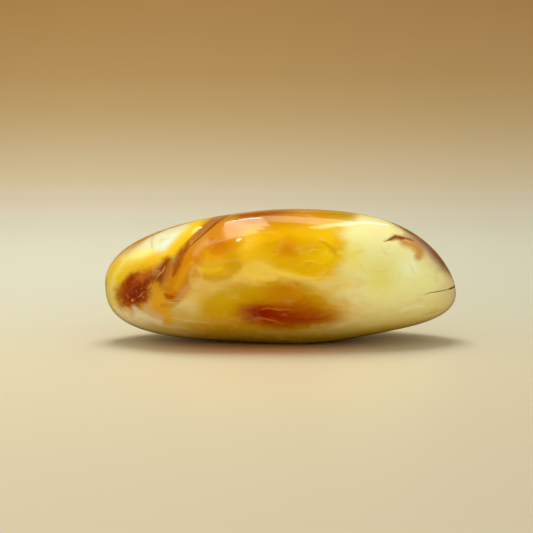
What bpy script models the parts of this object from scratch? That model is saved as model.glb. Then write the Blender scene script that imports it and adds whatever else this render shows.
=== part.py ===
"""A polished pebble of cloudy amber, lying on the small flat worn into its underside.

Axes: +X runs along the stone to its wedge-shaped end, -Y is its front and +Z is up.
The origin is under the middle of the stone, on the surface that it lies on.

The form is one lump, so it is one solid. It starts as a sphere with its poles at the two ends.
Each point moves out along its own ray to a full ellipsoid whose side outline is bent to the
stone's own, then the rubbed facets cut it back softly. A healed fissure crosses the blunt end:
the lump on its wedge side stands a little proud, a shallow groove follows it, and it opens
into a shallow cavity at its foot.
"""

import math

import bmesh
import bpy
import numpy as np
from mathutils import Matrix, Vector

MM = 0.001

# Driving dimensions, in millimetres.
LENGTH = 60.0
DEPTH = 27.0
HEIGHT = 22.5
TIP_HEIGHT = 9.0  # height of both ends above the surface that the stone lies on
WEAR = 0.35  # how much the flat has worn off the rounded underside

# Side outline as (x, z) in millimetres, from the wedge end over the top and back underneath.
OUTLINE = (
    (30.0, 8.9),
    (29.2, 12.7),
    (24.7, 17.3),
    (17.8, 20.8),
    (9.0, 22.8),
    (-1.0, 22.1),
    (-8.4, 22.4),
    (-15.6, 19.9),
    (-22.1, 18.6),
    (-27.6, 14.6),
    (-30.0, 9.4),
    (-28.3, 5.0),
    (-22.3, 1.5),
    (-14.0, 0.5),
    (-6.0, -0.2),
    (2.0, -WEAR),
    (10.0, 0.1),
    (17.8, 1.5),
    (26.0, 3.9),
    (29.8, 5.4),
)
OUTLINE_WAVES = 7  # harmonics in the closed curve through the outline
FULLNESS = 2.3  # 2 is an ellipsoid, and more is squarer in section
EDGE_SHARPNESS = 18.0  # how tightly the rubbed facets meet the round of the stone
SLIGHTEST_LEAN = 1e-3  # a ray that leans to a facet by less than this never leaves through it
CUT_TOLERANCE = 1e-6  # in metres

# Rubbed facets: the outward normal's heading (0 at +X, -90 at the front) and its angle
# above the horizon, both in degrees, and the facet's distance from the stone's middle in mm.
FACETS = (
    ("front bevel", -108.0, 46.0, 14.7),
    ("front face", -88.0, 8.0, 13.3),
    ("front right", -56.0, 16.0, 20.2),
    ("front left", -126.0, 14.0, 21.4),
    ("back shoulder", 78.0, 52.0, 14.6),
    ("back face", 95.0, -6.0, 13.2),
    ("back right", 53.0, 6.0, 20.8),
    ("back left", 130.0, -10.0, 21.2),
)

# The healed fissure on the front: its line as (x, z), and its size, in millimetres.
FISSURE_LINE = (
    (-25.3, 7.9),
    (-22.4, 10.6),
    (-20.2, 12.6),
    (-18.1, 14.3),
    (-16.6, 16.0),
    (-15.0, 18.0),
    (-12.8, 19.9),
    (-10.1, 21.4),
)
FISSURE_BENDS = 3  # degree of the curve drawn through the line
FISSURE_FADE = 2.0  # how far it takes to fade at each end of the line
FRONT_FADE = 6.0  # how far it takes to fade over the crown
GROOVE_DEPTH = 0.4
GROOVE_HALF_WIDTH = 0.9
SHOULDER_RISE = 0.6
SHOULDER_STEP = 0.45
SHOULDER_REACH = 6.5

# The cavity at the fissure's foot, in millimetres, and the tilt of its long axis in degrees.
CAVITY_CENTRE = (-23.6, 9.9)
CAVITY_HALF = (5.4, 2.9)
CAVITY_TILT = 42.0
CAVITY_DEPTH = 0.35
CAVITY_RIM = 1.25  # where the dish ends, as a multiple of its half sizes

# Long, low waves that hand polishing leaves: for each, how many fit the stone's length along
# X, Y and Z, and its phase.
RIPPLE_HEIGHT = 0.1
RIPPLES = ((2.3, 0.7, 1.1, 0.4), (1.2, 1.9, -1.4, 2.1), (3.4, -0.8, 1.7, 4.0))

# The mesh: rings from end to end and points round each, closer together near the fissure.
RINGS = 72
RING_POINTS = 60
DENSE_RING = 0.7  # share of the way from the wedge end to the blunt end
DENSE_TURN = 0.4  # share of the turn round the stone, from the back over the top
CROWDING = 0.4  # 0 is even spacing, and 1 would double points up

HALF = np.array((LENGTH, DEPTH, HEIGHT)) / 2
MIDDLE = np.array((0.0, 0.0, TIP_HEIGHT))
AMBER_COLOUR = (0.69, 0.41, 0.07, 1)
SHARP_ANGLE = 40.0


def smooth(share):
    """0 below 0, 1 above 1, and an S-curve between."""
    share = np.clip(share, 0, 1)
    return share * share * (3 - 2 * share)


def full_ellipsoid(rays):
    """The radius of the squared-up unit sphere along each unit ray."""
    return (np.abs(rays) ** FULLNESS).sum(1) ** (-1 / FULLNESS)


def waves(angles):
    """One column for each term of a closed curve: a constant, then cosines and sines."""
    terms = [np.ones_like(angles)]
    for count in range(1, OUTLINE_WAVES + 1):
        terms += [np.cos(count * angles), np.sin(count * angles)]
    return np.stack(terms, 1)


def outline_swell(angles):
    """How far the side outline stands out from the full ellipsoid at each angle around Y."""
    points = (np.array(OUTLINE) - MIDDLE[[0, 2]]) / HALF[[0, 2]]
    reach = np.hypot(*points.T)
    rays = np.stack([points[:, 0], 0 * reach, points[:, 1]], 1) / reach[:, None]
    known = waves(np.arctan2(points[:, 1], points[:, 0]))
    terms = np.linalg.lstsq(known, reach / full_ellipsoid(rays), rcond=None)[0]
    return waves(angles) @ terms


def facet_distances(rays):
    """For each facet, the distance along each ray, in mm, at which the ray leaves through it."""
    for _name, heading, rise, distance in FACETS:
        heading, rise = math.radians(heading), math.radians(rise)
        normal = np.array(
            (
                math.cos(rise) * math.cos(heading),
                math.cos(rise) * math.sin(heading),
                math.sin(rise),
            )
        )
        yield distance / np.maximum(rays @ normal, SLIGHTEST_LEAN)


def fissure_offset(points):
    """How far the fissure raises or lowers each point, in mm.

    Across the fissure's line the wedge side stands proud and fades back to the stone's round,
    and a rounded groove lies along the line. Both are on the front alone.
    """
    line_x, line_z = np.array(FISSURE_LINE).T
    curve = np.polyfit(line_z, line_x, FISSURE_BENDS)
    height = points[:, 2]
    inside = np.clip(height, line_z[0], line_z[-1])
    slope = np.polyval(np.polyder(curve), inside)
    across = (points[:, 0] - np.polyval(curve, inside)) / np.sqrt(1 + slope**2)
    ends = smooth(1 + (height - line_z[0]) / FISSURE_FADE)
    weight = ends * smooth(-points[:, 1] / FRONT_FADE)
    step = 1 / (1 + np.exp(-across / SHOULDER_STEP))
    shoulder = SHOULDER_RISE * step * np.exp(-((across / SHOULDER_REACH) ** 2))
    groove = GROOVE_DEPTH * np.exp(-((across / GROOVE_HALF_WIDTH) ** 2))
    return weight * (shoulder - groove)


def cavity_offset(points):
    """How far the cavity lowers each point, in mm: a shallow oval dish."""
    tilt = math.radians(CAVITY_TILT)
    east, north = (points[:, [0, 2]] - np.array(CAVITY_CENTRE)).T
    along = (east * math.cos(tilt) + north * math.sin(tilt)) / CAVITY_HALF[0]
    across = (north * math.cos(tilt) - east * math.sin(tilt)) / CAVITY_HALF[1]
    dish = smooth(CAVITY_RIM - np.hypot(along, across))
    return -CAVITY_DEPTH * dish * smooth(-points[:, 1] / FRONT_FADE)


def ripple(points):
    """The low polishing waves at each point, in mm: a sum of three plane waves."""
    total = np.zeros(len(points))
    for x_waves, y_waves, z_waves, phase in RIPPLES:
        turns = points @ np.array((x_waves, y_waves, z_waves)) / LENGTH
        total += np.sin(2 * math.pi * turns + phase)
    return RIPPLE_HEIGHT * total / len(RIPPLES)


def pebble_points(rays):
    """The stone's surface, in mm, along unit rays from its middle."""
    angles = np.arctan2(rays[:, 2], rays[:, 0])
    side = 1 - rays[:, 1] ** 2
    swell = 1 + (outline_swell(angles) - 1) * side
    offsets = rays * HALF * (full_ellipsoid(rays) * swell)[:, None]
    reach = np.linalg.norm(offsets, axis=1)
    out = offsets / reach[:, None]
    total = np.ones(len(rays))
    for distance in facet_distances(out):
        total += (reach / distance) ** EDGE_SHARPNESS
    reach = reach * total ** (-1 / EDGE_SHARPNESS)
    points = to_size(MIDDLE + out * reach[:, None])
    relief = fissure_offset(points) + cavity_offset(points) + ripple(points)
    return points + out * relief[:, None]


def to_size(points):
    """Stretches the points along each axis to the driving dimensions, centred in X and Y."""
    low, high = points.min(0), points.max(0)
    size = np.array((LENGTH, DEPTH, HEIGHT + WEAR))
    floor = np.array((-LENGTH / 2, -DEPTH / 2, -WEAR))
    return floor + (points - low) / (high - low) * size


def crowded(share, dense):
    """Draws even shares of a range or a turn together near one share of it."""
    return share - CROWDING / (2 * math.pi) * np.sin(2 * math.pi * (share - dense))


def crowd_rays(rays):
    """Draws a sphere's rings and the points round them together near the fissure."""
    polar = np.arccos(np.clip(rays[:, 0], -1, 1)) / math.pi
    turn = np.arctan2(rays[:, 2], rays[:, 1]) / (2 * math.pi)
    first, last = crowded(0.0, DENSE_RING), crowded(1.0, DENSE_RING)
    polar = math.pi * (crowded(polar, DENSE_RING) - first) / (last - first)
    turn = 2 * math.pi * crowded(turn, DENSE_TURN)
    around = np.sin(polar)
    return np.stack([np.cos(polar), around * np.cos(turn), around * np.sin(turn)], 1)


def amber():
    """Milky honey-coloured amber with a polished face."""
    material = bpy.data.materials.new("polished_amber")
    material.use_nodes = True
    shader = material.node_tree.nodes["Principled BSDF"]
    shader.inputs["Base Color"].default_value = AMBER_COLOUR
    shader.inputs["Roughness"].default_value = 0.08
    shader.inputs["IOR"].default_value = 1.54
    material.diffuse_color = AMBER_COLOUR
    return material


def wear_flat(bm):
    """Cuts the underside off level where it meets the surface, and closes the cut."""
    everything = bm.verts[:] + bm.edges[:] + bm.faces[:]
    cut = bmesh.ops.bisect_plane(
        bm,
        geom=everything,
        dist=CUT_TOLERANCE,
        plane_co=Vector((0, 0, 0)),
        plane_no=Vector((0, 0, -1)),
        clear_outer=True,
    )
    rim = [edge for edge in cut["geom_cut"] if isinstance(edge, bmesh.types.BMEdge)]
    bmesh.ops.contextual_create(bm, geom=rim)


def pebble():
    """The stone: a sphere drawn out to the form above and worn flat underneath."""
    bm = bmesh.new()
    bmesh.ops.create_uvsphere(
        bm,
        u_segments=RING_POINTS,
        v_segments=RINGS,
        radius=1.0,
        matrix=Matrix.Rotation(math.radians(90), 4, "Y"),
    )
    rays = crowd_rays(np.array([vert.co.normalized() for vert in bm.verts]))
    for vert, point in zip(bm.verts, pebble_points(rays) * MM):
        vert.co = point
    wear_flat(bm)
    bmesh.ops.recalc_face_normals(bm, faces=bm.faces)
    mesh = bpy.data.meshes.new("amber_pebble")
    bm.to_mesh(mesh)
    bm.free()
    mesh.shade_smooth()
    mesh.set_sharp_from_angle(angle=math.radians(SHARP_ANGLE))
    stone = bpy.data.objects.new("amber_pebble", mesh)
    stone.data.materials.append(amber())
    bpy.context.collection.objects.link(stone)
    return stone


def clear_scene():
    """Removes what the start-up file holds."""
    for obj in list(bpy.data.objects):
        bpy.data.objects.remove(obj, do_unlink=True)


clear_scene()
pebble()
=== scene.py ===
"""The looks of a polished pebble of cloudy amber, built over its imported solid.

The stone is one surface, worked out along rays from the stone's middle with the same formulas as
the solid, and finer: the healed fissure's groove, the rough cavity at its foot, a notch and a
hairline crack at the wedge end, and low polishing waves. Its material is a stack of soft clouds
that lie inside the stone, from milky cream through honey to rust, so every side is finished.

Lengths in the tables are millimetres in the stone's own frame: +X to the wedge end, -Y out of
the front and +Z up from the surface that the stone lies on.
"""

import math

import bpy
import numpy as np
from bpy.props import FloatProperty, FloatVectorProperty, PointerProperty
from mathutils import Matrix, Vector


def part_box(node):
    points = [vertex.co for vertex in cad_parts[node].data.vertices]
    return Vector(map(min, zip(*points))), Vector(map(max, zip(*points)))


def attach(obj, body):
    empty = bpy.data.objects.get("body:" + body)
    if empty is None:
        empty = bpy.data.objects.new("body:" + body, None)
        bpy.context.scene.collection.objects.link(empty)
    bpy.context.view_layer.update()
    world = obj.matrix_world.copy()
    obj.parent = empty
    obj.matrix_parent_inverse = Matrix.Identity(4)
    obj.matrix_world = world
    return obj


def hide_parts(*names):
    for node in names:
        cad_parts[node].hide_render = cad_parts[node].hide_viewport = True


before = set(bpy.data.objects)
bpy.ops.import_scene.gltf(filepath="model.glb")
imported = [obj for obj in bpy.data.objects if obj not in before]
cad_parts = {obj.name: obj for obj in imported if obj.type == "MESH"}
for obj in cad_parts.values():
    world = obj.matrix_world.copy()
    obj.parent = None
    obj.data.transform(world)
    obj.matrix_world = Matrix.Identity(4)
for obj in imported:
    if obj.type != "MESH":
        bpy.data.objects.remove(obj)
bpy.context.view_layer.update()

bl_info = {
    "name": "Polished amber pebble",
    "version": (1, 0, 0),
    "blender": (4, 5, 0),
    "location": "View3D > Sidebar > Amber",
    "description": "A polished pebble of cloudy amber on a pale studio sweep",
    "category": "Add Mesh",
}

STONE_LOW, STONE_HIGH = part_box("amber_pebble")
STONE_SIZE = STONE_HIGH - STONE_LOW
MM = 0.001

# The form, as in the solid's source. The side outline is (x, z), from the wedge end over the top and
# back underneath.
TIP_HEIGHT = 9.0  # height of both ends above the surface that the stone lies on
WEAR = 0.35  # how much the flat has worn off the rounded underside
OUTLINE = (
    (30.0, 8.9),
    (29.2, 12.7),
    (24.7, 17.3),
    (17.8, 20.8),
    (9.0, 22.8),
    (-1.0, 22.1),
    (-8.4, 22.4),
    (-15.6, 19.9),
    (-22.1, 18.6),
    (-27.6, 14.6),
    (-30.0, 9.4),
    (-28.3, 5.0),
    (-22.3, 1.5),
    (-14.0, 0.5),
    (-6.0, -0.2),
    (2.0, -WEAR),
    (10.0, 0.1),
    (17.8, 1.5),
    (26.0, 3.9),
    (29.8, 5.4),
)
OUTLINE_WAVES = 7  # harmonics in the closed curve through the outline
FULLNESS = 2.3  # 2 is an ellipsoid, and more is squarer in section
EDGE_SHARPNESS = 18.0  # how tightly the rubbed facets meet the round of the stone
SLIGHTEST_LEAN = 1e-3  # a ray that leans to a facet by less than this never leaves through it

# Rubbed facets: the outward normal's heading (0 at +X, -90 at the front) and its angle above the
# horizon, both in degrees, and the facet's distance from the stone's middle.
FACETS = (
    ("front bevel", -108.0, 46.0, 14.7),
    ("front face", -88.0, 8.0, 13.3),
    ("front right", -56.0, 16.0, 20.2),
    ("front left", -126.0, 14.0, 21.4),
    ("back shoulder", 78.0, 52.0, 14.6),
    ("back face", 95.0, -6.0, 13.2),
    ("back right", 53.0, 6.0, 20.8),
    ("back left", 130.0, -10.0, 21.2),
)

# The healed fissure on the front: its line as (x, z), its groove and the low step beside it.
FISSURE_LINE = (
    (-25.3, 7.9),
    (-22.4, 10.6),
    (-20.2, 12.6),
    (-18.1, 14.3),
    (-16.6, 16.0),
    (-15.0, 18.0),
    (-12.8, 19.9),
    (-10.1, 21.4),
)
FISSURE_BENDS = 3  # degree of the curve drawn through the line
FISSURE_FADE = 2.0  # how far it takes to fade at each end of the line
FRONT_FADE = 6.0  # how far it takes to fade over the crown
GROOVE_HALF_WIDTH = 0.9
SHOULDER_RISE = 0.6
SHOULDER_STEP = 0.45
SHOULDER_REACH = 6.5

# The cavity at the fissure's foot, the tilt of its long axis in degrees, and its crust: random
# folded waves, the sizes of the coarsest and the finest lumps, and how high they stand as a share
# of the cavity's depth.
CAVITY_CENTRE = (-23.6, 9.9)
CAVITY_HALF = (5.4, 2.9)
CAVITY_TILT = 42.0
CAVITY_RIM = 1.25  # where the dish ends, as a multiple of its half sizes
CRUST_SEED = 7
CRUST_WAVES = 28
CRUST_LUMPS = (2.4, 0.7)
CRUST_HEIGHT = 0.9
CRUST_SPREAD = 2.0  # how much the waves' mean is stretched
CRUST_DROP = 0.8  # and how much it is then lowered, to start from 0

# Long, low waves that hand polishing leaves: for each, how many fit the stone's length along X, Y
# and Z, and its phase.
RIPPLE_HEIGHT = 0.1
RIPPLES = ((2.3, 0.7, 1.1, 0.4), (1.2, 1.9, -1.4, 2.1), (3.4, -0.8, 1.7, 4.0))

# The surface's mesh: rings from end to end and points round each, closer together near the fissure.
RINGS = 360
RING_POINTS = 262
DENSE_RING = 0.7  # share of the way from the wedge end to the blunt end
DENSE_TURN = 0.4  # share of the turn round the stone, from the back over the top
CROWDING = 0.4  # 0 is even spacing, and 1 would double points up

# Lines on the front taper to their ends: the width of a thin line and of a wide one, what is left
# of each at its ends, and how bluntly it gets there.
LINE_WIDTHS = (0.4, 1.0)
LINE_ENDS = (0.15, 0.75)
LINE_TAPER = 0.7

# Fine marks cut into the front, each a broken line of (x, z) and how wide it is at its middle: the
# brown notch high on the wedge end and the hairline crack at the tip.
NOTCH = ((16.9, 17.6), (18.1, 17.9), (18.9, 18.4), (19.7, 18.2), (20.9, 17.9), (22.5, 17.4))
NOTCH_WIDTH = 0.5
HAIRLINE = ((23.4, 8.7), (24.6, 9.0), (26.4, 9.1), (28.0, 9.2), (29.9, 9.5))
HAIRLINE_WIDTH = 0.17

# The small pale ring beside the fissure's foot: its centre as (x, z), its half sizes and half its
# line's width as a share of them.
RING_CENTRE = (-14.0, 12.2)
RING_HALF = (0.9, 1.55)
RING_LINE = 0.3

# Where the painted marks of the front end.
STROKES_BACK = 1.0  # the y at which strokes begin to fade
STROKES_FADE = 4.0  # how far back it takes them
OUT_OF_REACH = 5.0  # how many half widths away the faded ones then count as
FISSURE_COLOUR_LOW = 13.5  # the height at which the fissure's colours start
FISSURE_COLOUR_RISE = 2.5  # how far up it takes until they are full
FISSURE_COLOUR_BACK = 2.0  # the y at which they end
FISSURE_COLOUR_FADE = 3.0  # how far it takes them to fade up to there


def smooth(share):
    """0 below 0, 1 above 1, and an S-curve between."""
    share = np.clip(share, 0, 1)
    return share * share * (3 - 2 * share)


def full_ellipsoid(rays):
    """The radius of the squared-up unit sphere along each unit ray."""
    return (np.abs(rays) ** FULLNESS).sum(1) ** (-1 / FULLNESS)


def waves(angles):
    """One column for each term of a closed curve: a constant, then cosines and sines."""
    terms = [np.ones_like(angles)]
    for count in range(1, OUTLINE_WAVES + 1):
        terms += [np.cos(count * angles), np.sin(count * angles)]
    return np.stack(terms, 1)


def outline_swell(angles, middle, half):
    """How far the side outline stands out from the full ellipsoid at each angle around Y."""
    points = (np.array(OUTLINE) - middle[[0, 2]]) / half[[0, 2]]
    reach = np.hypot(*points.T)
    rays = np.stack([points[:, 0], 0 * reach, points[:, 1]], 1) / reach[:, None]
    known = waves(np.arctan2(points[:, 1], points[:, 0]))
    terms = np.linalg.lstsq(known, reach / full_ellipsoid(rays), rcond=None)[0]
    return waves(angles) @ terms


def facet_distances(rays):
    """For each facet, the distance along each ray at which the ray leaves through it."""
    for _name, heading, rise, distance in FACETS:
        heading, rise = math.radians(heading), math.radians(rise)
        normal = np.array(
            (
                math.cos(rise) * math.cos(heading),
                math.cos(rise) * math.sin(heading),
                math.sin(rise),
            )
        )
        yield distance / np.maximum(rays @ normal, SLIGHTEST_LEAN)


def to_box(points, low, high):
    """Stretches the points along each axis so that they fill the box."""
    first, last = points.min(0), points.max(0)
    return low + (points - first) / (last - first) * (high - low)


def fissure_across(points):
    """The distance of each point from the fissure's line, positive on the wedge side."""
    line_x, line_z = np.array(FISSURE_LINE).T
    curve = np.polyfit(line_z, line_x, FISSURE_BENDS)
    inside = np.clip(points[:, 2], line_z[0], line_z[-1])
    slope = np.polyval(np.polyder(curve), inside)
    return (points[:, 0] - np.polyval(curve, inside)) / np.sqrt(1 + slope**2)


def on_front(points):
    """1 on the front of the stone, fading to 0 over the crown and the underside."""
    return smooth(-points[:, 1] / FRONT_FADE)


def cavity_share(points):
    """1 over the cavity's floor, fading to 0 at its rim."""
    tilt = math.radians(CAVITY_TILT)
    east, north = (points[:, [0, 2]] - np.array(CAVITY_CENTRE)).T
    along = (east * math.cos(tilt) + north * math.sin(tilt)) / CAVITY_HALF[0]
    across = (north * math.cos(tilt) - east * math.sin(tilt)) / CAVITY_HALF[1]
    return smooth(CAVITY_RIM - np.hypot(along, across)) * on_front(points)


def line_distance(points, line):
    """The distance of each point from a broken line, seen from the front, and its share along."""
    line = np.array(line)
    flat = points[:, [0, 2]]
    steps = np.linalg.norm(np.diff(line, axis=0), axis=1)
    ends = np.concatenate([[0], np.cumsum(steps)])
    nearest = np.full(len(points), np.inf)
    along = np.zeros(len(points))
    for start, end, length, before in zip(line, line[1:], steps, ends):
        run = (end - start) / length
        reach = np.clip((flat - start) @ run, 0, length)
        away = np.linalg.norm(flat - start - reach[:, None] * run, axis=1)
        closer = away < nearest
        nearest[closer] = away[closer]
        along[closer] = (before + reach[closer]) / ends[-1]
    return nearest, along


def line_reach(points, line, width):
    """The distance of each point from a line, as a multiple of the line's local half width.

    A line is widest in its middle. A thin one tapers to its ends, and a wide one nearly keeps its
    width.
    """
    away, along = line_distance(points, line)
    (thin, wide), (thin_end, wide_end) = LINE_WIDTHS, LINE_ENDS
    end = wide_end + (thin_end - wide_end) * smooth((wide - width) / (wide - thin))
    taper = 1 - (1 - end) * (1 - np.sin(math.pi * along) ** LINE_TAPER)
    return away / (width / 2 * taper)


def ripple(points):
    """The low polishing waves at each point: a sum of three plane waves."""
    total = np.zeros(len(points))
    length = STONE_SIZE.x / MM
    for x_waves, y_waves, z_waves, phase in RIPPLES:
        turns = points @ np.array((x_waves, y_waves, z_waves)) / length
        total += np.sin(2 * math.pi * turns + phase)
    return RIPPLE_HEIGHT * total / len(RIPPLES)


def crust(points):
    """A broken, lumpy field from 0 to about 1: folded plane waves in all directions, summed."""
    random = np.random.default_rng(CRUST_SEED)
    coarse, fine = CRUST_LUMPS
    total = np.zeros(len(points))
    for _ in range(CRUST_WAVES):
        direction = random.normal(size=3)
        direction /= np.linalg.norm(direction)
        length = coarse * (fine / coarse) ** random.random()
        phase = random.random()
        total += np.abs(np.sin(math.pi * (points @ direction / length + phase)))
    return total / CRUST_WAVES * CRUST_SPREAD - CRUST_DROP


def crowded(share, dense):
    """Draws even shares of a range or a turn together near one share of it."""
    return share - CROWDING / (2 * math.pi) * np.sin(2 * math.pi * (share - dense))


def sphere_grid():
    """Unit rays to rings round +X from pole to pole, closer together near the fissure, and faces."""
    first, last = crowded(0.0, DENSE_RING), crowded(1.0, DENSE_RING)
    polar = crowded(np.arange(1, RINGS) / RINGS, DENSE_RING)
    polar = math.pi * ((polar - first) / (last - first))[:, None]
    turn = 2 * math.pi * crowded(np.arange(RING_POINTS) / RING_POINTS, DENSE_TURN)[None]
    around = np.sin(polar)
    rings = [np.cos(polar) + 0 * turn, around * np.cos(turn), around * np.sin(turn)]
    rays = np.vstack([(1, 0, 0), np.stack(rings, 2).reshape(-1, 3), (-1, 0, 0)])
    place = 1 + np.arange((RINGS - 1) * RING_POINTS).reshape(RINGS - 1, RING_POINTS)
    beside = np.roll(place, -1, 1)
    bands = np.stack([place[:-1], place[1:], beside[1:], beside[:-1]], 2).reshape(-1, 4)
    wedge = np.stack([0 * place[0], place[0], beside[0]], 1)
    blunt = np.stack([0 * place[-1] + len(rays) - 1, beside[-1], place[-1]], 1)
    return rays, bands.tolist() + wedge.tolist() + blunt.tolist()


def stone_points(rays, sizes):
    """The stone's surface along unit rays from its middle, in millimetres.

    The full ellipsoid is bent to the side outline, cut back softly by the facets and stretched
    to the solid's box. The fissure, the cavity, the notch, the hairline and the polishing waves
    then raise or lower each point along its ray, and the underside is worn flat.
    """
    low, high = np.array(STONE_LOW) / MM, np.array(STONE_HIGH) / MM
    half = (high - low) / 2
    middle = np.array((0.0, 0.0, TIP_HEIGHT))
    angles = np.arctan2(rays[:, 2], rays[:, 0])
    swell = 1 + (outline_swell(angles, middle, half) - 1) * (1 - rays[:, 1] ** 2)
    offsets = rays * half * (full_ellipsoid(rays) * swell)[:, None]
    reach = np.linalg.norm(offsets, axis=1)
    out = offsets / reach[:, None]
    total = np.ones(len(rays))
    for distance in facet_distances(out):
        total += (reach / distance) ** EDGE_SHARPNESS
    points = middle + out * (reach * total ** (-1 / EDGE_SHARPNESS))[:, None]
    points = to_box(points, low - (0, 0, WEAR), high)
    points += out * relief(points, sizes)[:, None]
    points[:, 2] = np.maximum(points[:, 2], 0)
    return to_box(points, low, high)


def relief(points, sizes):
    """How far every mark on the surface raises or lowers each point, in millimetres."""
    front = on_front(points)
    across = fissure_across(points)
    ends = smooth(1 + (points[:, 2] - FISSURE_LINE[0][1]) / FISSURE_FADE)
    step = 1 / (1 + np.exp(-across / SHOULDER_STEP))
    shoulder = SHOULDER_RISE * step * np.exp(-((across / SHOULDER_REACH) ** 2))
    groove = sizes.fissure_depth / MM * np.exp(-((across / GROOVE_HALF_WIDTH) ** 2))
    height = ends * front * (shoulder - groove)
    cavity = cavity_share(points)
    height -= cavity * sizes.cavity_depth / MM * (1 + CRUST_HEIGHT * crust(points))
    notch = np.exp(-(line_reach(points, NOTCH, NOTCH_WIDTH) ** 2))
    hairline = np.exp(-(line_reach(points, HAIRLINE, HAIRLINE_WIDTH) ** 2))
    height -= front * (sizes.notch_depth * notch + sizes.hairline_depth * hairline) / MM
    return height + ripple(points)


def mark_fields(points):
    """What the material needs to know of the marks at each point, by attribute name."""
    back = OUT_OF_REACH * smooth((points[:, 1] - STROKES_BACK) / STROKES_FADE)
    fields = {}
    for name, _colour, _strength, _softness, width, line in STROKES:
        fields[name] = line_reach(points, line, width) + back
    east, north = (points[:, [0, 2]] - np.array(RING_CENTRE)).T
    ring = np.hypot(east / RING_HALF[0], north / RING_HALF[1])
    fields["ring"] = np.abs(ring - 1) / RING_LINE + back
    fields["fissure"] = fissure_across(points)
    upper = smooth((points[:, 2] - FISSURE_COLOUR_LOW) / FISSURE_COLOUR_RISE)
    front = smooth((FISSURE_COLOUR_BACK - points[:, 1]) / FISSURE_COLOUR_FADE)
    fields["fissure_hold"] = upper * front
    fields["cavity"] = cavity_share(points)
    return fields


def linear(hex_colour):
    """An sRGB hex colour as linear red, green, blue and an alpha of 1."""
    parts = [int(hex_colour[i : i + 2], 16) / 255 for i in (0, 2, 4)]
    return [p / 12.92 if p <= 0.04045 else ((p + 0.055) / 1.055) ** 2.4 for p in parts] + [1.0]


def add(tree, kind, inputs=None, **settings):
    """Adds a node, sets its settings and its inputs, and returns its outputs by name or number.

    An input's value may be a plain value or another node's output, which is linked.
    """
    made = tree.nodes.new(kind)
    for name, value in settings.items():
        setattr(made, name, value)
    for name, value in (inputs or {}).items():
        if isinstance(value, bpy.types.NodeSocket):
            tree.links.new(value, made.inputs[name])
        else:
            made.inputs[name].default_value = value
    return made.outputs


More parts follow.
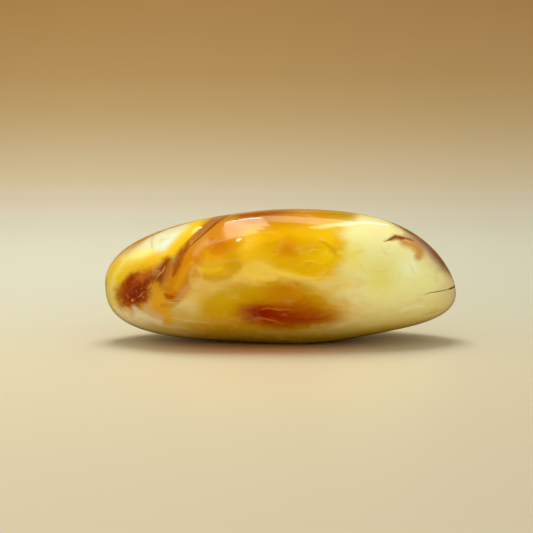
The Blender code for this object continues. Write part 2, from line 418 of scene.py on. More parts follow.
# Clouds inside the stone, painted in this order. Each has its colour, its centre, its half sizes
# along its own length, depth and height, its tilt about Y in degrees (its +X end up), how strong
# it is, how soft its edge is (0 is crisp and 1 fades from its centre) and how wispy it is.
CLOUDS = (
    # the cream wedge end
    ("cream wedge", "F0ECA0", (19.8, -7.0, 14.5), (14.0, 15.0, 10.0), 0, 1.0, 0.35, 0.5),
    ("wedge below", "E3D186", (19.0, -8.0, 4.6), (14.0, 13.0, 5.2), 4, 0.95, 0.9, 0.4),
    ("yellow patch", "EADF78", (16.2, -11.4, 12.0), (3.8, 5.0, 4.0), 0, 0.9, 0.9, 0.6),
    ("pale patch", "EEE29A", (11.6, -12.0, 10.8), (2.8, 5.0, 3.8), 0, 0.8, 0.8, 0.5),
    ("yellow shade", "F6E36C", (11.6, -11.5, 15.4), (3.0, 4.0, 2.8), -20, 0.8, 0.9, 0.7),
    ("pale spot", "F6FAC8", (21.2, -7.8, 13.4), (3.0, 3.0, 2.4), 20, 0.8, 1.0, 0.4),
    ("upper wedge", "EDE4A0", (16.0, -6.0, 19.4), (5.0, 6.0, 2.6), -12, 0.8, 0.9, 0.4),
    ("wedge tip", "DCC890", (29.6, -4.0, 8.4), (4.4, 8.0, 5.6), 0, 0.8, 0.9, 0.3),
    ("yellow foot", "EAC04C", (16.5, -8.0, 2.4), (9.0, 7.0, 2.4), 8, 0.9, 0.8, 0.4),
    # the tan and gold middle of the front
    ("tan band", "E2BA54", (-9.4, -12.5, 10.6), (9.0, 7.0, 4.2), 4, 0.95, 0.5, 0.5),
    ("gold band", "F6CE4E", (-2.6, -12.5, 13.0), (8.4, 6.0, 2.9), -8, 0.95, 0.6, 0.5),
    ("gold band, right", "EECF66", (7.0, -12.5, 11.4), (6.0, 6.0, 2.6), 0, 0.9, 0.7, 0.6),
    ("lower left", "D0AC50", (-17.4, -9.5, 5.0), (8.5, 7.0, 3.6), -10, 0.95, 0.6, 0.5),
    ("lower middle", "C89E30", (-11.4, -9.5, 3.6), (5.5, 7.0, 2.8), -8, 0.9, 0.9, 0.5),
    # honey on the upper front
    ("honey", "EEB806", (3.2, -11.0, 17.0), (8.2, 7.0, 5.2), -10, 1.0, 0.25, 0.6),
    ("honey, left", "F1BE10", (-5.0, -11.0, 17.4), (5.2, 7.0, 3.6), 0, 0.95, 0.5, 0.5),
    ("honey, low", "EFBA04", (5.4, -11.8, 13.6), (3.2, 5.0, 2.0), -6, 0.95, 0.4, 0.5),
    ("upper honey", "D29200", (-1.6, -8.5, 20.9), (9.6, 7.0, 2.3), 0, 1.0, 0.8, 0.3),
    ("upper honey, right", "E4B80A", (8.0, -8.5, 20.2), (3.4, 7.0, 2.2), 0, 0.9, 0.7, 0.3),
    ("bright honey", "FACE08", (7.4, -11.5, 16.4), (3.4, 4.0, 3.0), -30, 0.95, 0.8, 0.5),
    ("honey shade", "E2A400", (-0.8, -12.0, 17.8), (3.6, 3.5, 2.8), 0, 0.85, 1.0, 0.6),
    ("dark honey", "D88A00", (1.3, -12.0, 17.0), (2.4, 3.0, 2.2), 0, 0.95, 1.0, 0.6),
    ("honey shade, right", "E2A602", (5.0, -12.0, 17.2), (2.6, 3.0, 1.5), -15, 0.8, 1.0, 0.6),
    ("honey shade, edge", "E8B000", (8.9, -11.6, 16.8), (1.6, 3.0, 1.6), -40, 0.85, 0.9, 0.5),
    ("orange zone", "D08000", (-11.4, -8.5, 18.2), (5.8, 7.0, 4.0), 15, 0.98, 0.5, 0.4),
    ("amber saddle", "E09A06", (-8.4, -10.5, 18.2), (2.6, 5.0, 2.2), 0, 0.85, 0.9, 0.4),
    ("olive lobe", "E3AC0E", (-10.6, -12.0, 14.4), (5.2, 4.0, 3.0), 8, 0.95, 0.4, 0.5),
    ("gold saddle", "E8A60A", (-11.2, -11.0, 16.0), (3.4, 4.0, 1.4), 0, 0.9, 0.8, 0.5),
    ("orange lobe", "C06000", (-10.4, -11.6, 17.0), (2.9, 3.5, 1.9), 10, 0.85, 1.0, 0.5),
    ("dark olive", "D69C00", (-7.9, -12.0, 15.0), (1.7, 3.0, 2.2), 10, 0.85, 1.0, 0.5),
    # the rust patch low on the front
    ("rust halo", "CC9E06", (-1.2, -13.0, 7.2), (13.0, 7.0, 4.5), -3, 1.0, 0.35, 0.7),
    ("halo, left", "D0A40C", (-9.6, -13.0, 7.6), (4.6, 5.0, 2.8), 8, 0.9, 0.8, 0.7),
    ("halo peak", "D09C06", (0.2, -13.0, 10.0), (6.2, 5.0, 2.2), 0, 0.9, 0.6, 0.7),
    ("olive patch", "C89C04", (-11.2, -12.5, 6.6), (3.2, 5.0, 2.0), 6, 0.85, 0.8, 0.5),
    ("olive foot", "C08C04", (-7.0, -11.0, 3.6), (8.0, 7.0, 2.6), 0, 0.9, 0.8, 0.4),
    ("rust brown", "AC5E00", (1.0, -13.0, 6.2), (9.8, 6.0, 3.5), -3, 0.98, 0.55, 0.7),
    ("rust spur", "C47C00", (0.4, -13.0, 9.7), (4.4, 4.0, 1.5), 0, 0.9, 1.0, 0.7),
    ("rust core", "943000", (1.0, -13.0, 5.7), (8.2, 5.0, 2.3), -3, 0.98, 0.8, 0.6),
    ("deep rust", "8A1C00", (-3.0, -13.0, 6.3), (4.2, 4.0, 1.8), -8, 0.98, 0.9, 0.6),
    # painted shade: the whole underside darker, in gold-brown
    ("golden foot", "A08600", (0.5, -7.5, 0.4), (21.0, 10.0, 5.2), 0, 1.0, 0.7, 0.3),
    # the blunt end: amber brown behind with painted shade along its upper outline, a milky cap, and a
    # painted glow of light through it in front
    ("blunt back", "B87414", (-22.6, 4.0, 14.0), (10.0, 8.6, 10.6), 0, 0.95, 0.35, 0.4),
    ("milky cap", "E2E2B2", (-19.6, -7.0, 16.8), (8.6, 6.6, 3.7), 32, 1.0, 0.35, 0.4),
    ("milky heart", "E8F4E0", (-19.0, -7.0, 17.0), (3.2, 4.0, 1.9), 42, 0.95, 0.9, 0.4),
    ("milky heart, low", "EEF2B8", (-23.0, -7.0, 15.2), (3.0, 4.0, 1.4), 36, 0.9, 0.9, 0.4),
    ("blunt side", "EED472", (-28.6, -5.0, 9.0), (2.6, 6.0, 4.4), 0, 0.95, 0.5, 0.4),
    # painted glow: light through the blunt end, as pale yellow
    ("left glow", "FBE05C", (-28.4, -5.6, 11.6), (2.4, 4.0, 2.4), 50, 0.8, 0.9, 0.4),
    ("blunt foot", "F0DCAC", (-25.6, -6.0, 4.8), (3.6, 6.0, 2.2), -30, 0.9, 0.6, 0.5),
    # painted shade: amber brown along the blunt end's upper outline
    ("amber rim", "A8681A", (-22.0, 4.6, 17.8), (12.0, 7.0, 5.0), 30, 0.9, 0.25, 0.4),
    # orange and ochre beside the cavity
    ("orange beside", "CE8206", (-16.2, -11.0, 13.0), (2.9, 5.0, 5.8), -30, 0.95, 0.5, 0.6),
    ("ochre below", "DA9C18", (-19.8, -10.0, 9.2), (2.6, 5.0, 3.2), 0, 0.95, 0.5, 0.7),
    ("curl shade", "B86200", (-18.3, -12.0, 9.5), (2.0, 4.0, 1.2), -10, 0.9, 0.9, 0.6),
    # the cavity's crust and haloes
    ("mustard halo", "C88E04", (-24.9, -8.0, 8.8), (4.3, 5.0, 3.8), 20, 0.98, 0.4, 0.7),
    ("orange glow", "DC8A02", (-22.6, -8.6, 12.8), (4.6, 4.0, 2.0), 30, 0.95, 0.7, 0.5),
    ("cavity brown", "A03C00", (-24.2, -8.5, 9.7), (4.8, 5.0, 3.2), 32, 0.98, 0.5, 0.8),
    ("cavity core", "841E00", (-23.8, -8.5, 8.9), (3.8, 5.0, 1.7), 38, 0.95, 0.9, 0.8),
    ("cavity orange", "C46400", (-22.9, -8.5, 11.7), (2.3, 4.0, 1.2), 30, 0.85, 1.0, 0.7),
    # painted shade along the wedge end's upper outline: a tan band, and brown behind it with a painted lit
    # patch; and the stain on the tip
    ("tan shoulder", "C4A26C", (24.4, -2.6, 16.2), (8.0, 5.4, 2.8), -42, 0.85, 0.9, 0.5),
    ("brown shoulder", "6C3010", (25.6, 2.2, 16.4), (10.4, 7.2, 7.2), -38, 0.95, 0.25, 0.5),
    ("brown shoulder, lit", "9A5A24", (24.0, 6.4, 15.4), (5.0, 4.0, 3.0), -30, 0.7, 1.0, 0.8),
    ("tip stain", "8A3020", (30.2, 0.4, 8.5), (1.0, 3.0, 1.5), 0, 0.85, 0.6, 0.5),
    # honey, rust and milk on the back, which the front lets one expect
    ("back honey", "E0A824", (3.0, 11.0, 14.5), (10.0, 5.0, 4.6), -12, 0.85, 0.9, 0.8),
    ("back milk", "F2EAB8", (-7.0, 12.0, 9.0), (8.0, 5.0, 3.4), 14, 0.75, 0.9, 0.8),
    ("back rust", "AC6410", (11.0, 10.0, 6.0), (6.5, 5.0, 2.6), -10, 0.8, 0.9, 0.8),
    ("back rust, deep", "8C3C08", (12.6, 10.0, 5.4), (3.4, 5.0, 1.4), -10, 0.8, 1.0, 0.8),
    ("blunt back, deep", "965208", (-25.0, 7.0, 11.0), (4.6, 6.0, 3.6), 20, 0.75, 1.0, 0.8),
    # the crown, from orange by the fissure to yellow
    ("amber crown", "C88600", (5.5, -3.0, 22.6), (8.0, 8.0, 3.0), 0, 0.95, 0.5, 0.3),
    ("orange crown", "A25000", (-4.5, -3.0, 22.5), (7.6, 8.0, 2.8), 0, 0.98, 0.6, 0.3),
    ("yellow crown", "BE9208", (10.6, -3.0, 22.3), (3.0, 7.0, 2.2), 0, 0.95, 0.6, 0.3),
)

# The colours met on the way across the fissure, from the blunt side to the wedge side: how far
# across in millimetres, the colour, and how strongly it covers the clouds.
FISSURE_TONES = (
    (-2.2, "F0D838", 0.0),
    (-1.4, "ECCE28", 0.8),
    (-0.75, "DCA80C", 0.95),
    (-0.35, "BC7C10", 1.0),
    (0.05, "A86A1C", 1.0),
    (0.4, "BC7406", 0.95),
    (0.9, "C88004", 0.85),
    (2.0, "CC8A04", 0.0),
)

# The longer lines among the strokes, as (x, z) over the front.
GOLD_SWEEP = ((-27.2, 11.2), (-25.4, 13.0), (-22.0, 14.2), (-19.0, 15.3), (-17.0, 17.2), (-14.3, 19.9))
FISSURE_CORE = ((-15.6, 17.2), (-14.2, 18.5), (-12.6, 19.8), (-10.9, 21.0), (-8.0, 22.4))
LOWER_LIP = ((-16.2, 15.8), (-14.1, 17.8), (-12.3, 19.3), (-10.3, 20.9), (-7.4, 22.2))
HONEY_WISP = ((4.2, 15.9), (4.7, 16.5), (5.4, 16.7), (6.1, 16.5), (6.8, 16.7))
LOW_HONEY_WISP = ((3.2, 14.6), (4.2, 14.9), (5.2, 14.8), (6.2, 14.4), (7.4, 14.5))

# Strokes painted over the clouds, in this order: the stroke's colour, its strength, its softness,
# its width at its middle and its line of (x, z) over the front.
STROKES = (
    # the glow between the milky cap and the cavity, and the cap's tan streaks
    ("lemon glow", "FAEC5C", 0.75, 1.0, 1.6, ((-27.8, 11.8), (-26.4, 13.6), (-24.4, 14.8), (-21.6, 15.6))),
    ("gold edge", "F2C020", 0.8, 1.0, 1.1, ((-29.5, 10.4), (-28.8, 12.2), (-27.4, 14.0))),
    ("gold sweep", "F6C414", 0.9, 0.9, 1.8, GOLD_SWEEP),
    ("tan streak", "D8BC88", 0.6, 0.8, 0.5, ((-21.2, 18.6), (-21.8, 17.4), (-21.5, 16.0))),
    ("tan streak, upper", "E0CC94", 0.5, 0.9, 0.8, ((-20.4, 19.0), (-19.2, 19.4))),
    # the cavity's arm, painted glints along its ridge, and grains of gold that are partly painted glints
    ("cavity top", "983800", 0.8, 1.0, 1.5, ((-25.6, 9.4), (-25.0, 11.6))),
    ("cavity arm", "8E3000", 0.95, 0.9, 2.3, ((-22.6, 8.9), (-21.0, 10.4), (-19.8, 12.2), (-18.8, 14.2))),
    ("ochre strip", "B07410", 0.6, 1.0, 0.7, ((-18.2, 14.8), (-18.7, 13.2), (-19.4, 11.4))),
    # painted glints on the arm's ridge, here and in the next stroke
    ("ridge", "DCAE58", 0.75, 0.8, 0.2, ((-20.7, 11.6), (-20.1, 12.4), (-19.6, 12.8), (-19.1, 13.8))),
    ("ridge, low", "C8923C", 0.75, 0.8, 0.18, ((-22.4, 9.7), (-21.7, 10.4), (-21.1, 11.2))),
    # grains of gold, partly the crust's colour and partly painted glints, here and in the next stroke
    ("gold glint and grain", "DCA03C", 1.0, 0.6, 0.55, ((-25.0, 7.7), (-24.6, 7.9))),
    ("upper gold glint and grain", "C8862C", 0.9, 0.8, 0.22, ((-23.6, 8.4), (-22.9, 9.2), (-22.3, 9.5))),
    # beside the fissure's foot
    ("orange slope", "D08404", 0.85, 1.0, 2.4, ((-13.5, 17.2), (-15.1, 14.8), (-16.8, 12.1), (-18.1, 9.5))),
    ("dark foot", "8A4A10", 0.7, 1.0, 0.9, ((-16.5, 16.2), (-17.1, 15.0), (-17.7, 13.9))),
    ("red streak", "963A08", 0.75, 1.0, 0.8, ((-15.4, 17.4), (-16.3, 15.4), (-17.8, 12.3))),
    ("amber ridge", "E6A61C", 0.55, 1.0, 1.1, ((-14.7, 14.4), (-16.2, 12.4), (-17.2, 10.4))),
    ("pink edge", "CC9A5C", 0.6, 0.9, 0.8, ((-15.3, 10.8), (-16.1, 9.6), (-17.0, 8.6))),
    ("tongue", "DEA220", 0.9, 0.8, 2.6, ((-20.8, 10.2), (-20.2, 7.9), (-19.7, 6.6), (-19.0, 5.0))),
    ("spur", "CC8C12", 0.8, 1.0, 0.8, ((-19.8, 7.4), (-18.1, 7.5), (-16.8, 8.0))),
    ("curl", "984200", 0.7, 1.0, 0.7, ((-19.1, 9.3), (-18.6, 8.8), (-17.7, 8.9))),
    ("curl tail", "A8641C", 0.7, 0.8, 0.24, ((-18.6, 8.3), (-17.4, 8.1), (-16.3, 8.3))),
    ("pale spur line", "E4C488", 0.45, 0.9, 0.24, ((-18.2, 8.0), (-16.8, 7.9), (-14.8, 8.0))),
    # milky streaks low on the blunt end
    ("milky streak", "EFE4C6", 0.6, 1.0, 1.1, ((-24.6, 6.6), (-23.6, 5.6), (-21.8, 4.8), (-20.0, 4.4))),
    ("milky streak, thin", "E2D2A0", 0.35, 1.0, 0.6, ((-23.6, 4.6), (-20.6, 3.8), (-15.4, 3.4))),
    ("milky streak, far", "E4D0A0", 0.35, 1.0, 0.35, ((-18.6, 5.4), (-15.4, 4.8), (-11.6, 4.6))),
    ("fringe", "DDB98C", 0.65, 1.0, 0.6, ((-26.0, 6.6), (-25.3, 5.6), (-24.7, 4.6))),
    ("pink veil", "D8B08C", 0.6, 1.0, 0.9, ((-22.6, 6.6), (-21.2, 5.8), (-19.6, 5.2))),
    # the fissure's pink core between its two dark lips
    ("fissure core", "AC7040", 0.8, 1.0, 0.45, FISSURE_CORE),
    ("upper lip", "9C5A18", 0.7, 0.9, 0.22, ((-16.8, 16.4), (-14.7, 18.4), (-13.0, 19.9), (-11.2, 21.2))),
    ("lower lip", "7C3A0A", 0.85, 0.9, 0.26, LOWER_LIP),
    # a painted peach reflection on the orange zone, and folds in the olive lobe
    ("painted peach reflection", "E8AE68", 0.45, 1.0, 0.9, ((-14.3, 15.8), (-13.2, 17.0), (-12.2, 17.9))),
    ("lobe fold", "F6CC1C", 0.5, 1.0, 0.8, ((-13.6, 13.4), (-11.8, 13.1), (-9.8, 13.6))),
    ("lobe hem", "D09A06", 0.6, 1.0, 1.0, ((-13.4, 12.4), (-11.0, 11.8), (-8.9, 12.2), (-6.8, 14.0))),
    # wisps in the honey
    ("honey wisp", "FEDC34", 0.45, 1.0, 0.3, HONEY_WISP),
    ("honey wisp, low", "FEDE3C", 0.4, 1.0, 0.3, LOW_HONEY_WISP),
    ("honey fold", "D69C00", 0.6, 0.8, 0.5, ((5.8, 18.1), (7.2, 17.6), (8.4, 16.6), (9.0, 15.4))),
    ("honey hem", "F8D840", 0.6, 0.9, 0.6, ((-3.4, 14.4), (-0.4, 13.0), (3.6, 12.2), (6.6, 12.2))),
    ("yellow drift", "F0DC60", 0.6, 0.9, 0.8, ((9.4, 16.2), (11.4, 15.8), (13.4, 16.4))),
    ("tan drift", "DCC484", 0.5, 0.9, 0.5, ((6.0, 10.5), (8.0, 10.7), (10.4, 10.9))),
    # veins in the rust patch
    ("upper vein", "C88838", 0.6, 0.8, 0.26, ((-3.6, 6.9), (-2.2, 7.2), (-0.4, 6.9), (1.5, 7.0))),
    ("middle vein", "C47C20", 0.6, 0.8, 0.3, ((-4.4, 5.8), (-2.8, 5.4), (-1.2, 5.0), (1.0, 4.2))),
    ("lower vein", "CC9030", 0.5, 0.8, 0.24, ((-3.2, 3.9), (-1.0, 3.3), (0.6, 2.9))),
    ("side vein", "B4640C", 0.5, 0.8, 0.3, ((-5.0, 4.8), (-3.8, 5.0), (-2.6, 4.6))),
    # the notch, its stain and bruise, and the cracks and smudges at the wedge end
    ("notch stain", "C4842C", 0.85, 1.0, 1.6, ((20.4, 17.4), (22.0, 17.0), (23.4, 15.9), (22.8, 14.9))),
    ("notch bruise", "A08070", 0.5, 1.0, 0.9, ((20.8, 18.4), (22.8, 17.4), (24.8, 15.9), (26.4, 13.8))),
    ("notch", "9C4A10", 0.85, 1.0, 0.36, NOTCH),
    ("notch body", "8A3400", 0.9, 0.9, 0.7, ((17.9, 17.9), (19.1, 18.2), (20.5, 17.9))),
    ("fine crack", "D4BE80", 0.6, 0.7, 0.2, ((16.4, 17.4), (16.9, 16.1), (17.7, 15.1))),
    ("fine crack, low", "C4C088", 0.5, 0.7, 0.2, ((21.2, 14.2), (21.6, 13.2), (22.2, 12.5))),
    ("hairline", "94603A", 0.85, 0.7, 0.18, HAIRLINE),
    ("tip crack", "5A2410", 0.95, 0.8, 0.3, ((28.2, 9.2), (29.3, 9.35), (30.1, 9.6))),
    ("faint smudge", "EEE6BC", 0.5, 0.9, 0.8, ((19.8, 6.3), (21.5, 7.0), (23.6, 7.0))),
    ("tan smudge", "D0B070", 0.5, 0.9, 0.5, ((23.3, 5.4), (25.4, 5.6), (27.4, 6.2))),
    # a painted pale glint beside the highlight
    ("painted pale glint", "FCF0C8", 0.9, 0.5, 0.5, ((-7.5, 17.9), (-6.5, 18.3))),
)
RING_COLOUR = "E8C474"
RING_STRENGTH = 0.35

# The resin's flow, as noises in millimetres, which are drawn out along the stone as its layers are:
# each one's scale, detail and distortion.
FLOW = (0.6, 1.0, 1.3)
SWIRL = (0.2, 2.0, 0.0)
WISP = (0.55, 5.0, 1.0)
VEIL = (0.4, 5.0, 1.2)
GRIT = (1.5, 4.0, 0.0)
NOISE_MIDDLE = 0.5  # what a noise's channels are about
SWIRL_REACH = 2.0  # how far the swirl moves the clouds
WISP_REACH = 2.4  # how much further the wisps move the wispiest
CLOUD_EDGE = 0.3  # how far the softest cloud reaches beyond its surface
STROKE_JITTER = 1.6  # how much the wisps fray a stroke, in its half widths
FISSURE_JITTER = 0.5  # and the fissure's colours, in millimetres

# Tints laid on where a noise runs high or low: the colour, the noise's value where the tint starts
# and where it is full, and how strong it is there.
PALE_VEIL = ("F6E8A8", 0.5, 0.8, 0.16)
DEEP_VEIL = ("C08414", 0.5, 0.2, 0.2)
DARK_GRIT = ("741C00", 0.5, 0.34, 0.5)
# the gold flecks are partly the crust's colour and partly painted glints
GOLD_GRIT_AND_GLINTS = ("D08C2C", 0.58, 0.74, 0.6)

# The skin: its roughness where it is polished, how much rougher it is in the cavity, and the
# strength and depth of the grit's bump there.
POLISH = 0.07
CRUST_ROUGHNESS = 0.14
CRUST_BUMP = 0.4
CRUST_BUMP_DEPTH = 0.2
AMBER_IOR = 1.54


def mixed(tree, cover, under, over):
    """The output of a colour mix: over laid on under by cover."""
    return add(tree, "ShaderNodeMix", {"Factor": cover, 6: under, 7: over}, data_type="RGBA")[2]


def shifted(tree, place, drift, reach):
    """The place moved by up to about half the reach each way, as a noise's three channels say."""
    middle = {0: drift, 1: (NOISE_MIDDLE, NOISE_MIDDLE, NOISE_MIDDLE)}
    back = add(tree, "ShaderNodeVectorMath", middle, operation="SUBTRACT")[0]
    step = {0: back, 1: (reach, reach, reach), 2: place}
    return add(tree, "ShaderNodeVectorMath", step, operation="MULTIPLY_ADD")[0]


def noise(tree, place, grain):
    """The outputs of a cloudy noise of the given scale, detail and distortion."""
    scale, detail, distortion = grain
    inputs = {"Vector": place, "Scale": scale, "Detail": detail, "Distortion": distortion}
    return add(tree, "ShaderNodeTexNoise", inputs)


def ranged(tree, value, start, end, top=1.0):
    """The output of a soft ramp: 0 at the start value, rising or falling to top at the end value."""
    inputs = {"Value": value, "From Min": start, "From Max": end, "To Max": top}
    return add(tree, "ShaderNodeMapRange", inputs, interpolation_type="SMOOTHSTEP")[0]


def calculated(tree, operation, *values):
    """The output of a maths node."""
    return add(tree, "ShaderNodeMath", dict(enumerate(values)), operation=operation)[0]


def field(tree, name):
    """The output of one of the stone's own attributes."""
    return add(tree, "ShaderNodeAttribute", attribute_name=name)["Fac"]


def colours_along(tree, value, rows):
    """The outputs of a colour ramp through rows of a value, its colour and how well it covers."""
    first, last = rows[0][0], rows[-1][0]
    share = {"Value": value, "From Min": first, "From Max": last}
    share = add(tree, "ShaderNodeMapRange", share)[0]
    outputs = add(tree, "ShaderNodeValToRGB", {"Fac": share})
    ramp = outputs["Color"].node.color_ramp
    for _ in rows[2:]:
        ramp.elements.new(0.5)
    for element, (reach, colour, cover) in zip(ramp.elements, rows):
        element.position = (reach - first) / (last - first)
        element.color = linear(colour)[:3] + [cover]
    return outputs


def away_from(tree, place, centre, half, tilt=0.0):
    """How far a place is from the centre of an ellipsoid: 1 on its surface.

    The tilt is about Y in degrees, with the ellipsoid's +X end up.
    """
    turn = math.radians(tilt)
    axes = (
        (math.cos(turn) / half[0], 0, math.sin(turn) / half[0]),
        (0, 1 / half[1], 0),
        (-math.sin(turn) / half[2], 0, math.cos(turn) / half[2]),
    )
    off = add(tree, "ShaderNodeVectorMath", {0: place, 1: centre}, operation="SUBTRACT")[0]
    parts = {}
    for number, axis in enumerate(axes):
        shares = add(tree, "ShaderNodeVectorMath", {0: off, 1: axis}, operation="DOT_PRODUCT")
        parts[number] = shares["Value"]
    whole = add(tree, "ShaderNodeCombineXYZ", parts)[0]
    return add(tree, "ShaderNodeVectorMath", {0: whole}, operation="LENGTH")["Value"]


def with_clouds(tree, tone, calm, curly):
    """The tone with every cloud laid over it, each from a place between calm and curly."""
    places = {}
    for wispy in sorted({cloud[-1] for cloud in CLOUDS}):
        ends = {0: wispy, 4: calm, 5: curly}
        places[wispy] = add(tree, "ShaderNodeMix", ends, data_type="VECTOR")[1]
    for _name, colour, centre, half, tilt, strength, softness, wispy in CLOUDS:
        away = away_from(tree, places[wispy], centre, half, tilt)
        cover = ranged(tree, away, 1 + CLOUD_EDGE * softness, 1 - softness, strength)
        tone = mixed(tree, cover, tone, linear(colour))
    return tone


def with_fissure(tree, tone, jitter):
    """The tone with the fissure's colours laid across it."""
    across = calculated(tree, "MULTIPLY_ADD", jitter, FISSURE_JITTER, field(tree, "fissure"))
    streak = colours_along(tree, across, FISSURE_TONES)
    cover = calculated(tree, "MULTIPLY", field(tree, "fissure_hold"), streak["Alpha"])
    return mixed(tree, cover, tone, streak["Color"])


def with_strokes(tree, tone, jitter):
    """The tone with every stroke and the pale ring laid over it."""
    marks = [(name, colour, strength, softness) for name, colour, strength, softness, _, _ in STROKES]
    for name, colour, strength, softness in marks + [("ring", RING_COLOUR, RING_STRENGTH, 1.0)]:
        away = calculated(tree, "MULTIPLY_ADD", jitter, STROKE_JITTER, field(tree, name))
        cover = ranged(tree, away, 1 + softness, 1 - softness, strength)
        tone = mixed(tree, cover, tone, linear(colour))
    return tone


def tinted(tree, tone, value, tint, hold=None):
    """The tone with a tint laid on where a noise's value calls for it, as far as hold lets it."""
    colour, start, full, strength = tint
    cover = ranged(tree, value, start, full, strength)
    if hold is not None:
        cover = calculated(tree, "MULTIPLY", hold, cover)
    return mixed(tree, cover, tone, linear(colour))


def amber_material(colours):
    """Baltic-type amber, cut from the rough and polished on a buff.

    The eye meets a wet-looking clear skin over soft clouds: milky cream where the resin holds
    tiny bubbles, honey where it is clear, and rust where air has reached it. The cavity's floor
    escaped the buff, so it is crusty and duller, with grains of gold that are partly painted glints.
    Some clouds and strokes are painted light: shade along the underside and the upper outlines, a
    glow through the blunt end, a peach reflection, a pale glint, and glints on the cavity's ridge.
    """
    material = bpy.data.materials.new("buffed_cloudy_amber")
    material.use_nodes = True
    tree = material.node_tree
    tree.nodes.clear()
    place = add(tree, "ShaderNodeTexCoord")["Object"]
    mm = add(tree, "ShaderNodeVectorMath", {0: place, "Scale": 1 / MM}, operation="SCALE")[0]
    flow = add(tree, "ShaderNodeVectorMath", {0: mm, 1: FLOW}, operation="MULTIPLY")[0]
    swirl = noise(tree, flow, SWIRL)
    wisp = noise(tree, flow, WISP)["Color"]
    calm = shifted(tree, mm, swirl["Color"], SWIRL_REACH)
    curly = shifted(tree, calm, wisp, WISP_REACH)
    channel = add(tree, "ShaderNodeSeparateColor", {0: wisp})[0]
    jitter = calculated(tree, "SUBTRACT", channel, NOISE_MIDDLE)
    tone = mixed(tree, swirl["Fac"], [*colours.cream, 1], [*colours.honey, 1])
    tone = with_clouds(tree, tone, calm, curly)
    tone = with_fissure(tree, tone, jitter)
    veil = noise(tree, flow, VEIL)["Fac"]
    tone = tinted(tree, tone, veil, PALE_VEIL)
    tone = tinted(tree, tone, veil, DEEP_VEIL)
    tone = with_strokes(tree, tone, jitter)
    crusty = field(tree, "cavity")
    grit = noise(tree, mm, GRIT)["Fac"]
    tone = tinted(tree, tone, grit, DARK_GRIT, crusty)
    tone = tinted(tree, tone, grit, GOLD_GRIT_AND_GLINTS, crusty)
    bump = {
        "Strength": calculated(tree, "MULTIPLY", crusty, CRUST_BUMP),
        "Distance": CRUST_BUMP_DEPTH * MM,
        "Height": grit,
    }
    look = {
        "Base Color": tone,
        "Roughness": calculated(tree, "MULTIPLY_ADD", crusty, CRUST_ROUGHNESS, POLISH),
        "IOR": AMBER_IOR,
        "Normal": add(tree, "ShaderNodeBump", bump)[0],
    }
    shader = add(tree, "ShaderNodeBsdfPrincipled", look)[0]
    add(tree, "ShaderNodeOutputMaterial", {"Surface": shader})
    return material


# The board's colour along its profile: how far along in metres (0 is under the stone), and the
# colour there. It darkens to brown towards the top of the wall, as painted shade where the light falls off.
BOARD_TONES = (
    (-0.12, "CDC2A3"),
    (-0.04, "D2C8A7"),
    (0.07, "C8CAB4"),
    (0.25, "CBCCB9"),
    (0.381, "DED8C0"),
    (0.4325, "E0D9C0"),
    (0.456, "D9CEAE"),
    (0.555, "C3A876"),
    (0.6, "BA975D"),
    (0.665, "B28847"),
)

# The amber light that the stone lets through on to the floor, as pools of colour: the colour, the
# half sizes and the middle in metres, and how strong it is at its middle.
GLOWS = (
    ("E2BC80", (0.034, 0.05, 1.0), (-0.002, -0.03, 0.0), 0.2),
    ("F0A040", (0.026, 0.014, 1.0), (-0.003, -0.008, 0.0), 0.8),
)

# From left to right the board's tone falls off in a fan that opens towards the wall, as painted shade:
# the fan's half width in metres under the stone, how fast it opens, the share of it where the fall
# starts and ends, and the brightness on the left and on the right.
FAN_HALF_WIDTH = 0.25
FAN_OPENING = 0.5
FAN_REACH = 0.2
FAN_BRIGHTNESS = (1.04, 0.9)
BOARD_ROUGHNESS = 0.45


def board_material():
    """A matt painted board, brushed smooth, with painted shade: its tone falls off towards the top of the
    wall and to the right, and painted amber light pools on the floor by the stone.
    """
    material = bpy.data.materials.new("matt_painted_board")
    material.use_nodes = True
    tree = material.node_tree
    tree.nodes.clear()
    spot = add(tree, "ShaderNodeTexCoord")["Object"]
    place = add(tree, "ShaderNodeSeparateXYZ", {0: spot})
    along = calculated(tree, "ADD", place["Y"], place["Z"])
    fan = calculated(tree, "MULTIPLY_ADD", place["Y"], FAN_OPENING, FAN_HALF_WIDTH)
    fan = calculated(tree, "DIVIDE", place["X"], fan)
    rows = [(reach, colour, 1.0) for reach, colour in BOARD_TONES]
    tone = colours_along(tree, along, rows)["Color"]
    left, right = FAN_BRIGHTNESS
    dusk = {"Value": fan, "From Min": -FAN_REACH, "From Max": FAN_REACH, "To Min": left, "To Max": right}
    dusk = add(tree, "ShaderNodeMapRange", dusk)[0]
    tone = add(tree, "ShaderNodeVectorMath", {0: tone, "Scale": dusk}, operation="SCALE")[0]
    for colour, half, centre, strength in GLOWS:
        away = away_from(tree, spot, centre, half)
        tone = mixed(tree, ranged(tree, away, 1.0, 0.0, strength), tone, linear(colour))
    shader = add(tree, "ShaderNodeBsdfPrincipled", {"Base Color": tone, "Roughness": BOARD_ROUGHNESS})[0]
    add(tree, "ShaderNodeOutputMaterial", {"Surface": shader})
    return material


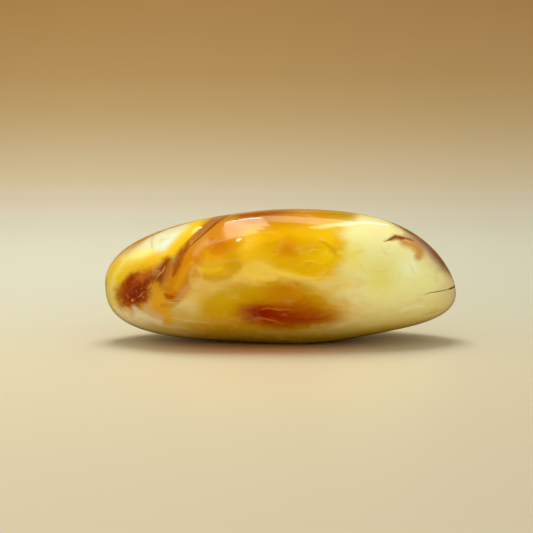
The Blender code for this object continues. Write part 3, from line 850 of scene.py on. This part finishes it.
class AmberPebbleLook(bpy.types.PropertyGroup):
    """Sizes of the marks on the stone's surface, and the body's colours."""

    fissure_depth: FloatProperty(
        name="Fissure depth",
        description="How deep the healed fissure's groove is",
        default=0.4 * MM,
        unit="LENGTH",
    )
    cavity_depth: FloatProperty(
        name="Cavity depth",
        description="How deep the rough cavity at the fissure's foot is",
        default=0.35 * MM,
        unit="LENGTH",
    )
    notch_depth: FloatProperty(
        name="Notch depth",
        description="How deep the brown notch near the wedge end is",
        default=0.22 * MM,
        unit="LENGTH",
    )
    hairline_depth: FloatProperty(
        name="Hairline depth",
        description="How deep the hairline crack at the wedge end is",
        default=0.07 * MM,
        unit="LENGTH",
    )
    cream: FloatVectorProperty(
        name="Cream",
        description="The body's pale tone, between the clouds",
        subtype="COLOR",
        default=linear("E8DCA0")[:3],
        min=0,
        max=1,
    )
    honey: FloatVectorProperty(
        name="Honey",
        description="The body's deep tone, between the clouds",
        subtype="COLOR",
        default=linear("E0B040")[:3],
        min=0,
        max=1,
    )


class AMBER_OT_pebble(bpy.types.Operator):
    """Build the stone's surface and give it its clouds and polish"""

    bl_idname = "amber.pebble"
    bl_label = "Amber pebble"

    def execute(self, context):
        look = context.scene.amber_look
        rays, faces = sphere_grid()
        mesh = bpy.data.meshes.new("polished_pebble")
        points = stone_points(rays, look)
        mesh.from_pydata((points * MM).tolist(), [], faces)
        for name, values in mark_fields(points).items():
            mesh.attributes.new(name, "FLOAT", "POINT").data.foreach_set("value", values)
        mesh.shade_smooth()
        stone = bpy.data.objects.new("polished_pebble", mesh)
        context.scene.collection.objects.link(stone)
        stone.data.materials.append(amber_material(look))
        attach(stone, "root")
        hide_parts("amber_pebble")
        return {"FINISHED"}


# The board in metres: half its width, where its front edge is and where it starts to turn up, the
# turn's radius and how high the wall stands, and then the degrees that each of the turn's faces spans.
SWEEP_HALF_WIDTH = 0.9
SWEEP_FRONT = -0.6
SWEEP_TURN = 0.42
SWEEP_RADIUS = 0.16
SWEEP_TOP = 0.24
SWEEP_FACET = 3


def sweep_points():
    """A floor that curves up into a wall: a profile of floor, quarter circle and wall along X."""
    turn = np.radians(np.arange(0, 90 + SWEEP_FACET, SWEEP_FACET))
    y = np.concatenate([[SWEEP_FRONT], SWEEP_TURN + SWEEP_RADIUS * np.sin(turn)])
    z = np.concatenate([[0.0], SWEEP_RADIUS * (1 - np.cos(turn))])
    y = np.append(y, SWEEP_TURN + SWEEP_RADIUS)
    z = np.append(z, SWEEP_TOP)
    sides = np.array((-SWEEP_HALF_WIDTH, SWEEP_HALF_WIDTH))[:, None]
    points = np.stack([sides + 0 * y, y + 0 * sides, z + 0 * sides], 2).reshape(-1, 3)
    step = np.arange(len(y) - 1)
    faces = np.stack([step, step + len(y), step + len(y) + 1, step + 1], 1)
    return points, faces


# The camera: its lens and sensor in millimetres, the picture's width and how large it shows the
# stone's middle, its angle above level in degrees, the place that it looks at, and how near it sees.
LENS = 100.0
SENSOR = 36.0
PIXELS = 533
PIXELS_PER_MM = 5.825
CAMERA_RISE = 6.0
CAMERA_TARGET = (-2.45, 0.0, 12.6)
NEAREST = 10.0

# Lights that face straight down: where each hangs in metres, its width and depth, its turn about
# the vertical in degrees, how bright it is to look at, and its colour.
LIGHTS = (
    ("softbox, panel 1", (-0.0925, 0.0975, 0.35), (0.021, 0.229), 0, 3.6, "FFF4E4"),
    ("softbox, panel 2", (-0.0735, 0.1025, 0.35), (0.017, 0.219), 0, 3.6, "FFF4E4"),
    ("softbox, panel 3", (-0.0575, 0.119, 0.35), (0.015, 0.186), 0, 3.6, "FFF4E4"),
    ("softbox, panel 4", (-0.0435, 0.136, 0.35), (0.013, 0.152), 0, 3.6, "FFF4E4"),
    ("softbox, right", (0.029, 0.215, 0.35), (0.138, 0.17), 0, 1.5, "FFF4E4"),
    ("softbox edge", (-0.05, 0.214, 0.35), (0.11, 0.034), 10, 16.0, "FFFAF2"),
    ("rear strip", (0.108, 0.2655, 0.3), (0.46, 0.02), 70.7, 3.6, "FFFAF2"),
    ("side strip", (-0.115, -0.01, 0.35), (0.03, 0.016), -72, 1.8, "FFF4E4"),
)

# Broad lights behind silk, which the polish doesn't mirror: where each stands in metres, its width
# and height, how bright it is to look at, and its colour. Each faces the stone.
SILKS = (
    ("key silk", (-0.02, 0.1, 0.38), (0.2, 0.16), 7.5, "FFFCF6"),
    ("front silk", (0.0, -0.5, 0.14), (0.7, 0.24), 1.3, "FFF8EC"),
)

# The light from all round, which the polish doesn't mirror either.
AIR_COLOUR = "FFFDF8"
AIR_STRENGTH = 0.72


def soft_light(name, place, size, radiance, colour):
    """A rectangular light of the given width and height, as bright to look at as its radiance."""
    data = bpy.data.lights.new(name, "AREA")
    data.shape = "RECTANGLE"
    data.size, data.size_y = size
    data.energy = radiance * math.pi * size[0] * size[1]
    data.color = linear(colour)[:3]
    light = bpy.data.objects.new(name, data)
    light.location = place
    return light


class AMBER_OT_stage(bpy.types.Operator):
    """Build the pale sweep, the studio lights and the camera"""

    bl_idname = "amber.stage"
    bl_label = "Pale sweep, lights and camera"

    def execute(self, context):
        scene = context.scene
        points, faces = sweep_points()
        board = board_material()
        for name, part, mirrored in (("pale_floor", faces[:1], False), ("pale_wall", faces[1:], True)):
            mesh = bpy.data.meshes.new(name)
            mesh.from_pydata(points.tolist(), [], part.tolist())
            mesh.shade_smooth()
            mesh.materials.append(board)
            sheet = bpy.data.objects.new(name, mesh)
            sheet.visible_glossy = mirrored
            scene.collection.objects.link(sheet)
        for name, place, size, turn, radiance, colour in LIGHTS:
            light = soft_light(name, place, size, radiance, colour)
            light.rotation_euler = (0, 0, math.radians(turn))
            scene.collection.objects.link(light)
        for name, place, size, radiance, colour in SILKS:
            light = soft_light(name, place, size, radiance, colour)
            light.rotation_euler = Vector(place).to_track_quat("Z", "Y").to_euler()
            light.visible_glossy = False
            scene.collection.objects.link(light)
        world = bpy.data.worlds.new("studio air")
        world.use_nodes = True
        air = world.node_tree.nodes["Background"]
        air.inputs["Color"].default_value = linear(AIR_COLOUR)
        air.inputs["Strength"].default_value = AIR_STRENGTH
        scene.world = world
        world.cycles_visibility.glossy = False
        camera = bpy.data.objects.new("camera", bpy.data.cameras.new("camera"))
        camera.data.lens = LENS
        camera.data.sensor_width = SENSOR
        camera.data.clip_start = NEAREST * MM
        rise = math.radians(CAMERA_RISE)
        back = Vector((0, -math.cos(rise), math.sin(rise)))
        distance = PIXELS / PIXELS_PER_MM * LENS / SENSOR * MM
        camera.location = Vector(CAMERA_TARGET) * MM + back * distance
        camera.rotation_mode = "QUATERNION"
        camera.rotation_quaternion = (-back).to_track_quat("-Z", "Y")
        scene.collection.objects.link(camera)
        scene.camera = camera
        scene.view_settings.view_transform = "Standard"
        return {"FINISHED"}


class AMBER_PT_panel(bpy.types.Panel):
    """Lists the stone's operators and sizes"""

    bl_idname = "AMBER_PT_panel"
    bl_label = "Amber pebble"
    bl_space_type = "VIEW_3D"
    bl_region_type = "UI"
    bl_category = "Amber"

    def draw(self, context):
        for name in AmberPebbleLook.__annotations__:
            self.layout.prop(context.scene.amber_look, name)
        self.layout.operator("amber.pebble")
        self.layout.operator("amber.stage")


CLASSES = (AmberPebbleLook, AMBER_OT_pebble, AMBER_OT_stage, AMBER_PT_panel)


def register():
    for kind in CLASSES:
        bpy.utils.register_class(kind)
    bpy.types.Scene.amber_look = PointerProperty(type=AmberPebbleLook)


def unregister():
    del bpy.types.Scene.amber_look
    for kind in reversed(CLASSES):
        bpy.utils.unregister_class(kind)


def main():
    register()
    bpy.ops.amber.pebble()
    bpy.ops.amber.stage()


if __name__ == "__main__":
    main()
